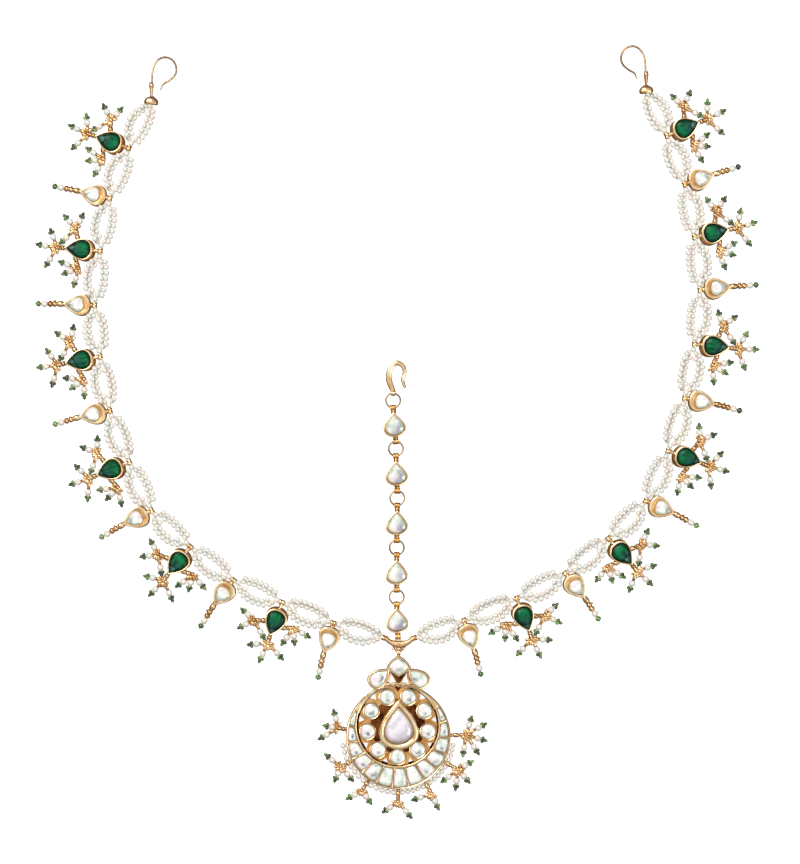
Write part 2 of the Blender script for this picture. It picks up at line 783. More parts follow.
def polki_material(name, spot, spot_size, spot_weight, tints):
    """Uncut diamond over silver foil: white and watery, tinged where the foil bends, gold in its edge,
    and with one dark reflection, which is weaker in some stones than in others."""
    add, finish = new_material(name)
    uv = add("ShaderNodeUVMap", uv_map="cut")["UV"]
    tones = tone_channels(add)
    own = add("ShaderNodeCombineXYZ", {"Z": tones["Green"]})["Vector"]
    place = add("ShaderNodeVectorMath", {0: uv, 1: own}, operation="ADD")["Vector"]
    water = add("ShaderNodeTexNoise", {"Vector": place, "Scale": 2.1, "Detail": 3, "Roughness": 0.55,
                                       "Distortion": 0.6})["Fac"]
    foil = add("ShaderNodeValToRGB", {"Fac": water}, list(zip(FOIL_STOPS, tints)))["Color"]
    wander = add("ShaderNodeTexNoise", {"Vector": place, "Scale": 1.3})["Color"]
    jitter = add("ShaderNodeVectorMath", {0: wander, 1: (0.5, 0.5, 0.5)}, operation="SUBTRACT")["Vector"]
    jitter = add("ShaderNodeVectorMath", {0: jitter, "Scale": 0.6}, operation="SCALE")["Vector"]
    moved = add("ShaderNodeVectorMath", {0: uv, 1: jitter}, operation="ADD")["Vector"]
    away = add("ShaderNodeVectorMath", {0: moved, 1: (*spot, 0)}, operation="DISTANCE")["Value"]
    dark = add("ShaderNodeValToRGB", {"Fac": away}, [
        (spot_size * 0.4, "4A5070"), (spot_size, "A4AFBC"), (spot_size * 1.9, "FFFFFF")])["Color"]
    spread = add("ShaderNodeMath", {0: tones["Green"], 1: 7.3}, operation="MULTIPLY")[0]
    share = add("ShaderNodeMath", {0: spread}, operation="FRACT")[0]
    weight = add("ShaderNodeMapRange", {"Value": share, "To Min": spot_weight * 0.65,
                                        "To Max": spot_weight})
    inside = add("ShaderNodeMix", {0: weight["Result"], 6: foil, 7: dark}, **MULTIPLIED)[2]
    edge = add("ShaderNodeValToRGB", {"Fac": tones["Red"]},
               [(0.3, "FFFFFF"), (0.6, "E4E0D8"), (0.95, "A88A5E")])["Color"]
    base = add("ShaderNodeMix", {0: 1.0, 6: inside, 7: edge}, **MULTIPLIED)[2]
    finish({"Base Color": base, "Roughness": 0.16, "Metallic": 0.1, "IOR": 1.7, "Coat Weight": 0.8,
            "Coat Roughness": 0.03, "Coat IOR": 1.7})


def glass_material(body):
    """Drawn glass seed beads: bottle green, nearly black in the hole, lime where light comes through."""
    add, finish = new_material("green_glass")
    light = mottled(add, 0.8, 2)
    patchy = add("ShaderNodeMath", {0: tone_channels(add)["Green"], 1: light}, operation="MULTIPLY")[0]
    base = add("ShaderNodeValToRGB", {"Fac": patchy},
               [(0.05, "0E3A18"), (0.22, body), (0.4, "557F3A"), (0.6, "93B868")])["Color"]
    finish({"Base Color": base, "Roughness": 0.12, "IOR": 1.52, "Coat Weight": 1.0,
            "Coat Roughness": 0.04, "Transmission Weight": 0.15})


def thread_material():
    """Twisted silk thread: off white, matt, with the twist just showing."""
    add, finish = new_material("silk_thread")
    twist = mottled(add, 0.25, 2)
    base = add("ShaderNodeValToRGB", {"Fac": twist}, [(0.3, "CFC4AE"), (0.7, "EFE8D8")])["Color"]
    bump = add("ShaderNodeBump", {"Height": twist, "Strength": 0.4, "Distance": 0.05 * MM})
    finish({"Base Color": base, "Normal": bump["Normal"], "Roughness": 0.8, "Sheen Weight": 0.3})


def materials():
    """The finishes, made once and shared by every piece."""
    if "burnished_gold" not in bpy.data.materials:
        colours = bpy.context.scene.jewel_colours
        gold_material("burnished_gold", colours.gold, "DDB27C", 0.2)
        gold_material("sheet_gold", "DEAC6A", "B47C40", 0.3)
        gold_material("leaf_gold", "E8C294", "BA8C5A", 0.26)
        gold_material("wire_gold", "BC9E78", "8E7454", 0.38)
        gold_material("deep_gold", colours.recess, "3E1C0C", 0.34)
        pearl_material(colours.pearl)
        emerald_material(colours.emerald)
        polki_material("foiled_diamond", (0.74, 0.5), 0.1, 0.7, WATERY)
        polki_material("foiled_diamond_rose", (0.5, 0.38), 0.1, 0.95, WATERY)
        polki_material("foiled_diamond_calm", (0.5, 0.3), 0.16, 0.15, WATERY)
        polki_material("foiled_diamond_drop", (0.3, 0.34), 0.2, 0.75, WATERY)
        polki_material("foiled_diamond_centre", (0.14, 0.36), 0.22, 0.4, LILAC)
        glass_material(colours.glass)
        thread_material()
    return bpy.data.materials


def in_mm(length):
    return length / MM


def radius(size):
    """Half of one of the sidebar's sizes, in millimetres."""
    return in_mm(getattr(bpy.context.scene.jewel_sizes, size)) / 2


def eyelet(bm, start):
    """The soldered tube that the strings pass through, with a rolled edge at each mouth, and its neck,
    which reaches a bezel that starts at this distance."""
    half = EYELET_LEN / 2
    mouth = [
        (BORE_R, 0.1), (BORE_R + 0.1, 0), (EYELET_R, 0.05), (EYELET_R + 0.05, 0.3), (EYELET_R - 0.1, 0.5),
    ]
    profile = [(r, z - half) for r, z in mouth] + [(EYELET_R - 0.14, 0)]
    profile += [(r, half - z) for r, z in reversed(mouth)]
    spun(bm, profile, shift(0, 0, EYELET_Z) @ Matrix.Rotation(math.pi / 2, 4, "X"), 20)
    rod(bm, Vector((EYELET_R * 0.75, 0, EYELET_Z)), Vector((start + 0.9, 0, EYELET_Z)), 0.62)
    ball(bm, (start - 0.2, 0, EYELET_Z + 0.1), 0.78)


def leaf(bm, start, way, length, width, lift):
    """A leaf of beaten gold, hollowed like a spoon, from its stalk along a wire."""
    side = Vector((-way.y, way.x, 0)).normalized()
    turned = Matrix((way, side, way.cross(side))).transposed().to_4x4()
    form = turned @ Matrix.Diagonal((length / 2, width / 2, 0.42, 1))
    ball(bm, start + way * length / 2 + Vector((0, 0, lift)), 1, sides=10, rings=7, form=form)


def spray(bm, cap, ends, cap_r, rng):
    """The wires that spread from a tassel's cap, a gold leaf and a bead cup on each, and the small
    petals between them."""
    start = flat(cap, WIRE_Z)
    ball(bm, start, cap_r * 0.9, form=Matrix.Diagonal((1, 1, 1.1, 1)))
    ways = []
    for e in ends:
        end = flat(e, WIRE_Z)
        way = (end - start).normalized()
        reach = (end - start).length - PEARL_BACK - radius("tassel_pearl")
        rod(bm, start, end, radius("wire"), sides=6)
        leaf(bm, start + way * 0.2, way, reach - 0.1, 1.6, 0.1)
        tilt = tilted(way)
        cup_at = start + way * (reach - 0.12)
        ball(bm, cup_at - way * 0.2, 0.62, sides=10, rings=6, form=tilt @ Matrix.Diagonal((1, 1, 0.7, 1)))
        torus(bm, Matrix.Translation(cup_at + way * 0.18) @ tilt, 0.52, 0.13, steps=12, sides=6)
        ways.append(heading(way))
    ways.sort()
    if ways[-1] - ways[0] > math.pi:
        ways = sorted(a % math.tau for a in ways)
    petals = []
    for low, high in zip(ways, ways[1:]):
        shares = (0.34, 0.66) if high - low > 1.1 else (0.5,)
        petals += [low + (high - low) * share for share in shares]
    for a in petals + [ways[0] - 0.65, ways[-1] + 0.65]:
        way = Vector((math.cos(a), math.sin(a), 0))
        leaf(bm, start + way * 0.3, way, rng.uniform(1.9, 2.5), 1.15, 0.3)


def stem(bm, root, cap, r):
    """A soldered stem with a barrel and turned collars between the bezel and the cap."""
    start = flat(root, WIRE_Z)
    end = flat(cap, WIRE_Z)
    reach = (end - start).length
    way = (end - start).normalized()
    tilt = tilted(way)
    rod(bm, start - way * 0.7, end, r * 1.15, r)
    barrel = tilt @ Matrix.Diagonal((r * 2, r * 2, reach * 0.24, 1))
    ball(bm, start + way * reach * 0.36, 1, sides=14, form=barrel)
    for share in (0.08, 0.62):
        at = Matrix.Translation(start + way * reach * share)
        torus(bm, at @ tilt, r * 1.4, r * 0.4, steps=16, sides=8)
    ball(bm, start + way * reach * 0.76, r * 1.8)


def tassel_goldwork(tassels, stem_r, cap_r, rng):
    """The stems and the sprays of tassels, each given as its root, its cap and its wires' ends."""
    stems = bmesh.new()
    sprays = bmesh.new()
    for root, cap, ends in tassels:
        stem(stems, root, cap, stem_r)
        spray(sprays, cap, ends, cap_r, rng)
    return Shape(stems, LEAF), Shape(sprays, LEAF)


def rim_profile(stone, inner, drawn):
    """Profile of a bezel: wall, rolled rim and the edge burnished onto the stone, which lies inner
    outside the girdle."""
    out, h = stone.out, stone.bezel_h
    return [
        (out, 0), (out, h - 0.4), (out + 0.02, h - 0.2), (out - 0.05, h - 0.05),
        (out - 0.16, h, drawn * 0.1), (out * 0.5 + inner * 0.5, h + 0.01, drawn * 0.5),
        (inner + 0.1, h - 0.02, drawn), (inner + 0.02, h - 0.1, drawn), (inner, h - 0.3, drawn),
        (inner, FLOOR_H, drawn),
    ]


def skirt(stone, lean):
    """The bezel's wall below its rim: it spreads towards its foot, most on the side that leans out.
    The profile's points are (distance outside the wall, height, share of the lean)."""
    h = stone.bezel_h
    profile = [
        (0.0, h - 0.55, 0.1), (0.05, h - 0.62, 0.15), (0.06, h * 0.5, 0.6), (0.1, 0.5, 1.0),
        (0.18, 0.3, 1.0), (0.1, 0.02, 1.0), (-0.3, 0.02, 0), (-0.3, h - 0.7, 0),
    ]
    edge = pear_edge(stone)
    bm = bmesh.new()
    skin(bm, [[p + lean * share for p in lifted(edge(stone.out + out), z)] for out, z, share in profile],
         hoop=True)
    return Shape(bm, SHEET)


def collar(stone, drawn):
    """The broad band between a bezel's rim and its stone at the round end, sloping down to the stone."""
    h, foot = stone.bezel_h, FLOOR_H + 0.05
    bm = bmesh.new()
    cup(bm, pear_edge(stone), [
        (0.4, h - 0.12, 0.02), (0.1, h - 0.28, drawn * 0.6), (0.02, h - 0.3, drawn), (0.0, h - 0.45, drawn),
        (0.0, foot, drawn), (0.4, foot, 0.02)], hoop=True)
    return Shape(bm, SHEET)


def setting(name, stone, lean, sag, spot, half, replaced, extra):
    """One motif's goldwork: bezel, eyelet, what is added and a wall that leans out, most towards the
    eyelet, and sags a little to the lower side."""
    bm = bmesh.new()
    cup(bm, pear_edge(stone), rim_profile(stone, 0.06, 0.02))
    eyelet(bm, stone.start)
    place = motif_place(spot, half.hand)
    low_side = place.to_3x3().inverted() @ Vector((0, -sag, 0))
    heap = Heap()
    heap.add(Shape(bm), place)
    heap.add(skirt(stone, low_side - Vector((lean, 0, 0))), place)
    for shape, spare in extra:
        heap.add(shape, place @ spare)
    heap.piece(name, "gold", replaced)


def emerald_tassels():
    """Root, cap and wire ends of each of an emerald motif's tassels, from its eyelet."""
    for (far, aside), cap, ends in EMERALD_TASSELS:
        x = EMERALD.start + far * bezel_length(EMERALD)
        root = Vector((x, aside * (EMERALD.width / 2 + EMERALD.out)))
        yield root, root + Vector(cap), [root + Vector(e) for e in ends]


def stem_place(spot, half):
    """Where the tassel of a diamond motif starts, from its eyelet."""
    return shift(POLKI.start + bezel_length(POLKI), 0, WIRE_Z) @ turn(half.hand * spot[3])


def numbered(first):
    """Every second motif with its half, its number and its code: emeralds from 0, diamonds from 1."""
    for half in HALVES:
        for i, spot in enumerate(half.motifs[first::2]):
            yield half, spot, i, f"{half.name[0]}{i + 1}"


class MATHA_OT_emerald_settings(bpy.types.Operator):
    """Gold bezels of the emerald motifs, with their eyelets and tassel wires"""

    bl_idname = "matha.emerald_settings"
    bl_label = "Emerald settings"

    def execute(self, context):
        for half, spot, _, code in numbered(0):
            goldwork = tassel_goldwork(emerald_tassels(), 0.5, 1.0, random.Random(code))
            extra = [(shape, Matrix()) for shape in goldwork]
            name = f"emerald_bezel_{code}"
            setting(name, EMERALD, 0.95, 0.25, spot, half, f"emerald_setting_{code}", extra)
        return {"FINISHED"}


class MATHA_OT_emeralds(bpy.types.Operator):
    """Twelve pear shaped emeralds"""

    bl_idname = "matha.emeralds"
    bl_label = "Emeralds"

    def execute(self, context):
        stone = gem(pear_edge(EMERALD, 18), EMERALD.bezel_h, EMERALD.top, 0.14)
        for half, spot, i, code in numbered(0):
            heap = Heap().add(stone, motif_place(spot, half.hand), (i * 0.37) % 1)
            heap.piece(f"emerald_{code}", "emerald", f"emerald_stone_{code}", "emerald_foiled")
        return {"FINISHED"}


class MATHA_OT_polki_settings(bpy.types.Operator):
    """Broad gold bezels of the uncut diamonds, each with its eyelet and stem"""

    bl_idname = "matha.polki_settings"
    bl_label = "Diamond settings"

    def execute(self, context):
        bm = bmesh.new()
        rod(bm, Vector((-1.2, 0, 0)), Vector((2.2, 0, 0)), 0.95, 0.8)
        rod(bm, Vector((0, 0, 0)), Vector((9.3, 0, 0)), radius("wire"), sides=6)
        ball(bm, (0.9, 0, 0.2), 1.15, form=Matrix.Diagonal((1.4, 1, 0.8, 1)))
        ball(bm, (3.0, 0, 0), 1.15, form=Matrix.Diagonal((0.85, 1, 1, 1)))
        ball(bm, (3.0, 1.15, 0.2), 0.42, sides=8, rings=6)
        ball(bm, (4.6, 0, 0), 1.2, form=Matrix.Diagonal((0.8, 1, 1, 1)))
        torus(bm, shift(5.4, 0) @ Matrix.Rotation(math.pi / 2, 4, "Y"), 0.5, 0.2, steps=14, sides=8)
        tassel = Shape(bm, LEAF)
        broad_band = collar(POLKI, POLKI_DRAWN)
        for half, spot, _, code in numbered(1):
            extra = [(tassel, stem_place(spot, half)), (broad_band, Matrix())]
            setting(f"diamond_bezel_{code}", POLKI, 0.3, 0.15, spot, half, f"polki_setting_{code}", extra)
        return {"FINISHED"}


class MATHA_OT_polki_stones(bpy.types.Operator):
    """Pear shaped uncut diamonds of the strands"""

    bl_idname = "matha.polki_stones"
    bl_label = "Diamonds"

    def execute(self, context):
        edge = drawn_edge(pear_edge(POLKI, 20), POLKI_DRAWN * 0.9)
        stone = gem(edge, POLKI.bezel_h, POLKI.top, 0.05)
        for half in HALVES:
            heap = Heap()
            for i in range(1, 12, 2):
                heap.add(stone, motif_place(half.motifs[i], half.hand), (i * 0.173) % 1)
            heap.piece(f"diamonds_{half.name}", "polki", f"polki_stones_{half.name}", "foiled_diamond")
        return {"FINISHED"}


def add_pearl(heap, shape, at, way, rng, size=1.0):
    """A pearl, a little out of round, drilled along its wire."""
    form = Matrix.Diagonal((size * rng.uniform(0.96, 1.02), size * rng.uniform(0.96, 1.02), size, 1))
    spin = Matrix.Rotation(rng.random() * math.tau, 4, "Z")
    heap.add(shape, Matrix.Translation(at) @ tilted(way) @ spin @ form, rng.random())


def add_trefoil(heap, bead, tip, end, way, rng):
    """Three green beads and a pale tip that close a tassel's wire."""
    reach = bead.points[:, 0].max()
    side = Vector((-way.y, way.x, 0)) * reach * 0.88
    for place in (side - way * 0.62, -side - way * 0.62, way * reach * 0.62):
        lift = Vector((0, 0, rng.uniform(-0.15, 0.15)))
        heap.add(bead, Matrix.Translation(end + place + lift), rng.random())
    heap.add(tip, Matrix.Translation(end + way * reach * 1.8), 1.0)


def dressed(wires, rng):
    """The pearls and the green beads on tassel wires, each given as its cap and its end."""
    pearl = bead_shape(radius("tassel_pearl"), 14, 10, 0.95)
    bead = bead_shape(radius("green_bead"), 8, 6)
    tip = bead_shape(TIP_BEAD_R, 6, 5)
    pearls = Heap()
    greens = Heap()
    for cap, end in wires:
        way = (end - cap).normalized()
        add_pearl(pearls, pearl, end - way * PEARL_BACK, way, rng)
        add_trefoil(greens, bead, tip, end, way, rng)
    return pearls, greens


class MATHA_OT_tassel_pearls(bpy.types.Operator):
    """Pearls and green glass beads on the tassels of the strands"""

    bl_idname = "matha.tassel_pearls"
    bl_label = "Tassel pearls"

    def execute(self, context):
        drop = bead_shape(radius("drop_pearl"), 16, 10, 0.95)
        large_bead = bead_shape(1.12, 12, 8, 0.85)
        tip = bead_shape(TIP_BEAD_R, 6, 5)
        for half in HALVES:
            rng = random.Random(half.name)
            places = [motif_place(spot, half.hand) for spot in half.motifs[::2]]
            pearls, greens = dressed([
                (place @ flat(cap, WIRE_Z), place @ flat(end, WIRE_Z))
                for place in places for _, cap, ends in emerald_tassels() for end in ends], rng)
            for spot in half.motifs[1::2]:
                place = motif_place(spot, half.hand) @ stem_place(spot, half)
                way = (place.to_3x3() @ Vector((1, 0, 0))).normalized()
                add_pearl(pearls, drop, place @ Vector((6.7, 0, 0)), way, rng)
                bead_at = Matrix.Translation(place @ Vector((8.9, 0, -0.1)))
                greens.add(large_bead, bead_at @ tilted(way), rng.random())
                greens.add(tip, Matrix.Translation(place @ Vector((9.95, 0, -0.1))), 1.0)
            pearls.piece(f"tassel_pearl_drops_{half.name}", "pearl", f"tassel_pearls_{half.name}", "nacre")
            greens.piece(f"green_beads_{half.name}", "emerald", None, "green_glass")
        return {"FINISHED"}


def string_path(start, end, reach, side, column, raised, spacing):
    """The way that one string takes between two eyelets."""
    way = (end - start).normalized()
    across = Vector((-way.y, way.x)) * side
    span = (end - start).length
    pearl_r = radius("seed_pearl")
    rows = []
    for form in LOOP_FORM:
        off = spacing / 2 * form[3] * (1 if raised else -1)
        out = THREAD_GAP + (reach - THREAD_GAP) * form[column] + off
        at = start + way * span * form[0] + across * out
        low = pearl_r + (EYELET_Z - pearl_r) * (1 - form[3])
        rows.append((at.x, at.y, low + (UPPER_RISE * form[3] if raised else 0)))
    return smooth_path(rows, 8)


# A pearl, or an eyelet that pearls must clear. Its string is (side, raised), None for the single pearl
# beside an eyelet, and "eyelet" for an eyelet.
Strung = namedtuple("Strung", "at r string way")


def loosened(beads):
    """Moves pearls apart until none overlaps its neighbour, and lets them rest on the table. Only those
    of a string's own loop move."""
    places = np.array([b.at for b in beads], float)
    wanted = places.copy()
    radii = np.array([b.r for b in beads])
    free = np.array([isinstance(b.string, tuple) for b in beads])
    need = radii[:, None] + radii[None, :]
    for _ in range(LOOSE_ROUNDS):
        apart = places[:, None] - places[None, :]
        gap = np.linalg.norm(apart, axis=2) + np.eye(len(places)) * FAR
        push = np.clip(need - gap, 0, None) * 0.5
        move = (apart / gap[..., None] * push[..., None]).sum(1)
        places[free] += (move * 0.7 + (wanted - places) * 0.03)[free]
        places[:, 2] = np.maximum(places[:, 2], radii)
    return places


class MATHA_OT_pearl_strands(bpy.types.Operator):
    """Four strings of seed pearls on each side, opened into a loop between every two eyelets"""

    bl_idname = "matha.pearl_strands"
    bl_label = "Pearl strands"

    spacing: bpy.props.FloatProperty(
        name="String spacing", description="Sideways distance between the strings of a pair",
        default=0.0015, min=0.0012, max=0.0018, unit="LENGTH")
    inner_reach: bpy.props.FloatProperty(
        name="Inner reach", description="Sideways reach of the inner pair", default=0.0024,
        min=0.002, max=0.003, unit="LENGTH")
    outer_reach: bpy.props.FloatProperty(
        name="Outer reach", description="Sideways reach of the outer pair", default=0.0036,
        min=0.003, max=0.004, unit="LENGTH")

    def execute(self, context):
        pearl = bead_shape(1, 10, 7, 0.94)
        for half in HALVES:
            rng = random.Random(f"strand {half.name}")
            route = [half.cap] + [Vector(m[:2]) for m in half.motifs] + [half.yoke]
            pearls = Heap()
            threads = {(side, raised): [] for side in (-1, 1) for raised in (0, 1)}
            for k, (start, end) in enumerate(zip(route, route[1:])):
                first, last = k == 0, k == len(route) - 2
                way = flat(end - start).normalized()
                singles = [] if first else [flat(start, EYELET_Z) + way * SINGLE_AT]
                singles += [] if last else [flat(end, EYELET_Z) - way * SINGLE_AT]
                beads = [Strung(s, radius("seed_pearl") * 1.02, None, way) for s in singles]
                beads += [Strung(flat(s, EYELET_Z), EYELET_R, "eyelet", way) for s in (start, end)]
                beads += self.loop(start, end, half, CAP_LEAD if first else EYELET_LEAD,
                                   YOKE_LEAD if last else EYELET_LEAD, rng)
                settled = [Vector(place) for place in loosened(beads)]
                for place, bead in zip(settled, beads):
                    if bead.string != "eyelet":
                        add_pearl(pearls, pearl, place, bead.way, rng, bead.r)
                for key, string in threads.items():
                    string.append(flat(start, EYELET_Z))
                    string += singles[:1] if not first else []
                    string += [place for place, bead in zip(settled, beads) if bead.string == key]
                    string += singles[-1:] if not last else []
            pearls.piece(f"seed_pearl_strings_{half.name}", "seed_pearl", f"strand_{half.name}", "nacre")
            bm = bmesh.new()
            for string in threads.values():
                tube(bm, string + [flat(route[-1], EYELET_Z)], radius("thread"), sides=5)
            silk = Heap().add(Shape(bm))
            silk.piece(f"silk_threads_{half.name}", "seed_pearl", None, "silk_thread")
        return {"FINISHED"}

    def loop(self, start, end, half, lead, trail, rng):
        """The pearls of the four strings between two eyelets, before they are loosened."""
        pearl_r = radius("seed_pearl")
        for side, reach, column in ((-half.hand, self.inner_reach, 1), (half.hand, self.outer_reach, 2)):
            for raised in (0, 1):
                path = string_path(start, end, in_mm(reach), side, column, raised, in_mm(self.spacing))
                room = path_length(path) - lead - trail + 2 * pearl_r
                count = max(2, round(room / (2 * pearl_r * SEED_PITCH)))
                step = room / count
                spots = lead - pearl_r + step * (0.5 * (1 + raised) + np.arange(count - raised))
                for at, ahead in zip(along(path, spots), along(path, spots + 0.2)):
                    r = pearl_r * rng.uniform(0.93, 1.03)
                    yield Strung(at, r, (side, raised), Vector(ahead - at))


class MATHA_OT_side_hooks(bpy.types.Operator):
    """The two hooks that fasten in the hair, each with its bell cap"""

    bl_idname = "matha.side_hooks"
    bl_label = "Side hooks"

    wire: bpy.props.FloatProperty(
        name="Hook wire", description="Diameter of the hook's wire", default=0.0008,
        min=0.0007, max=0.001, unit="LENGTH")
    cap: bpy.props.FloatProperty(
        name="Bell cap", description="Diameter of the bell cap", default=0.0047,
        min=0.004, max=0.0048, unit="LENGTH")

    def execute(self, context):
        wire_r = in_mm(self.wire) / 2
        cap_r = in_mm(self.cap) / 2
        rest_z = wire_r + 0.1
        upright = Matrix.Rotation(-math.pi / 2, 4, "X")
        # The bell's section, from its neck over its shoulder to the mouth and back inside it
        profile = [
            (0.45, 1.75), (0.8, 1.7), (0.95, 1.45), (1.3, 1.25), (cap_r * 0.8, 0.95),
            (cap_r * 1.02, 0.4), (cap_r * 1.12, -0.4), (cap_r * 1.1, -1.0), (cap_r * 0.98, -1.35),
            (cap_r * 0.8, -1.3), (cap_r * 0.78, -0.6), (cap_r * 0.5, 0.3), (0.45, 0.6),
        ]
        for half in HALVES:
            wire = bmesh.new()
            path = smooth_path(
                [(x * -half.hand, y, rest_z + (cap_r - rest_z) * z) for x, y, z in HOOK_WIRE], 6)
            taper = [wire_r * min(1, 0.55 + left * 0.06) for left in reversed(range(len(path)))]
            tube(wire, path, taper, sides=10)
            ball(wire, path[-1], wire_r * 0.62, sides=8, rings=6)

            cone = bmesh.new()
            rod(cone, Vector((0, 0.8, cap_r)), Vector((0, 5.4, cap_r)), 0.38, 0.84)
            ball(cone, (0, 5.6, cap_r), 0.95, form=Matrix.Diagonal((1, 1.1, 1, 1)))
            for y, r in ((4.9, 0.72), (6.5, 0.6)):
                torus(cone, shift(0, y, cap_r) @ upright, r, 0.2, steps=18, sides=8)

            bell = bmesh.new()
            for v in spun(bell, profile, Matrix(), 48):
                mouth = min(max((0.6 - v.co.z) / 2, 0), 1)
                wave = 1 - 0.1 * mouth * (0.5 - 0.5 * math.cos(8 * math.atan2(v.co.y, v.co.x)))
                v.co.x *= wave
                v.co.y *= wave
            away = half.cap - Vector(half.motifs[0][:2])
            place = turn((math.degrees(heading(away)) - 90) * 0.35) @ upright
            heap = Heap()
            heap.add(Shape(wire, WIRE), shift(*half.cap))
            heap.add(Shape(cone, LEAF), shift(*half.cap))
            heap.add(Shape(bell, LEAF), shift(*half.cap, cap_r) @ Matrix.Diagonal((1, 1, 0.6, 1)) @ place)
            heap.piece(f"hair_hook_{half.name}", "gold", f"hook_{half.name}")
        return {"FINISHED"}


def ring_top(i):
    return Vector(CHAIN_RINGS[i]) + Vector((0, RING_D / 2))


def ring_foot(i):
    return Vector(CHAIN_RINGS[i]) - Vector((0, RING_D / 2))


def drop_ends(i):
    """The points where a drop hangs, above and below, and the room between each and its bezel."""
    above = ring_foot(i)
    below = ring_top(i + 1) if i < 4 else YOKE_TOP_LOOP + Vector((0, YOKE_LOOP_R))
    return above, below, ((below - above).length - bezel_length(DROP)) / 2


def drop_place(i):
    above, below, spare = drop_ends(i)
    return shift(*below) @ turn(math.degrees(heading(above - below))) @ shift(spare, 0)


def bail(bm, at, way, width):
    """A broad loop of ribbed gold that a drop or a ring hangs in."""
    across = Matrix.Rotation(math.pi / 2, 4, "X")
    place = shift(at.x, at.y, LOOP_Z) @ turn(math.degrees(heading(way))) @ across
    for step in (-0.45, -0.15, 0.15, 0.45):
        torus(bm, place @ shift(0, 0, step * width), LOOP_R, LOOP_WIRE_R, steps=22, sides=8, wide=1.3)


class MATHA_OT_centre_chain(bpy.types.Operator):
    """The chain of rings and diamond drops that lies along the parting, and its flat hook"""

    bl_idname = "matha.centre_chain"
    bl_label = "Centre chain"

    ring_wire: bpy.props.FloatProperty(
        name="Ring wire", description="Diameter of a ring's wire", default=0.00066,
        min=0.0005, max=0.0007, unit="LENGTH")

    def execute(self, context):
        wire_r = in_mm(self.ring_wire) / 2
        rings = Heap()
        for i, (x, y) in enumerate(CHAIN_RINGS):
            bm = bmesh.new()
            torus(bm, Matrix(), RING_D / 2, wire_r, steps=40, sides=10)
            tilt = Matrix.Rotation(math.radians(1.5 * (-1) ** i), 4, "X")
            rings.add(Shape(bm, WIRE), shift(x, y, LOOP_Z) @ tilt)
        rings.piece("chain_link_rings", "gold", "chain_rings")

        bm = bmesh.new()
        path = smooth_path(CHAIN_HOOK, 5)
        widths = path[:, 2] / 2
        centre = [flat(p, 0.8) for p in path]
        tube(bm, centre, widths, 0.5, sides=16)
        for k in (0, -1):
            ball(bm, centre[k], widths[k], form=Matrix.Diagonal((1, 0.8, 0.5 / widths[k], 1)))
        bail(bm, ring_top(0), (0, 1), 1.1)
        Heap().add(Shape(bm)).piece("parting_hook", "gold", "chain_hook")

        bm = bmesh.new()
        cup(bm, pear_edge(DROP), rim_profile(DROP, 0.12, -0.02))
        bezel = Shape(bm)
        stone = gem(pear_edge(DROP, 20), DROP.bezel_h, DROP.top, 0.2)
        drops = Heap()
        stones = Heap()
        for i in range(5):
            drops.add(bezel, drop_place(i))
            stones.add(stone, drop_place(i), (0.1 + i * 0.29) % 1)
            above, below, spare = drop_ends(i)
            way = (above - below).normalized()
            bm = bmesh.new()
            for at, run in ((above, -way), (below, way)):
                bail(bm, at, way, 1.6)
                start = flat(at + run * LOOP_R, LOOP_Z)
                end = flat(at + run * (spare + 0.5), LOOP_Z)
                rod(bm, start, end, 0.75, 0.95)
                torus(bm, aimed(start, end), 0.8, 0.22, steps=18, sides=8)
            drops.add(Shape(bm, SHEET))
        drops.piece("chain_drop_bezels", "gold", "chain_drops")
        stones.piece("chain_diamonds", "polki", "chain_stones", "foiled_diamond_drop")
        return {"FINISHED"}


class MATHA_OT_yoke(bpy.types.Operator):
    """The small curved bar that joins the two strands, the chain and the pendant"""

    bl_idname = "matha.yoke"
    bl_label = "Yoke"

    def execute(self, context):
        left, right = HALVES[0].yoke, HALVES[1].yoke
        rows = []
        for share, drop, depth in YOKE_FORM:
            spot = left + (right - left) * share
            rows.append((spot.x, spot.y - drop, depth))
        path = smooth_path(rows, 6)
        centre = [(x, y + 0.15, 1.7) for x, y, _ in path]
        bm = bmesh.new()
        tube(bm, centre, path[:, 2] * 1.35, 0.55 + 0.3 * path[:, 2], sides=20)
        for half in HALVES:
            away = flat(half.yoke - Vector(half.motifs[-1][:2])).normalized()
            mouth = flat(half.yoke, EYELET_Z) - away * 0.6
            length = 2.2
            spun(bm, [
                (BORE_R, 0.1), (BORE_R + 0.08, 0), (EYELET_R, 0.04), (EYELET_R + 0.06, 0.25),
                (EYELET_R - 0.06, 0.45), (EYELET_R - 0.12, length), (0.3, length + 0.6),
                (0.3, length - 0.4), (BORE_R, length - 0.6)], Matrix.Translation(mouth) @ tilted(away), 20)
        for at in (YOKE_TOP_LOOP, YOKE_LOW_LOOP):
            torus(bm, shift(*at, LOOP_Z), YOKE_LOOP_R, LOOP_WIRE_R, steps=26, sides=8)
        for side in (-1, 1):
            rod(bm, Vector((side * 1.6, -77.0, 1.5)), Vector((side * 0.7, -79.2, 1.2)), 0.6, 0.45)
            torus(bm, shift(side * 1.95, -78.1, 1.1), 0.5, 0.22, steps=18, sides=8)
        Heap().add(Shape(bm, LEAF)).piece("strand_yoke", "gold", "yoke")
        return {"FINISHED"}


def in_pendant(matrix=Matrix()):
    return shift(PENDANT.x, PENDANT.y) @ matrix


def circle_edge(degrees, rim):
    """How far the open circle's edge, widened by a rim, lies from the disc's middle."""
    e = polar(1, degrees)
    d = e.dot(CIRCLE)
    return d + math.sqrt(d * d - CIRCLE.dot(CIRCLE) + (CIRCLE_R + rim) ** 2)


CRESCENT_FOOT = math.degrees(heading(-CIRCLE))


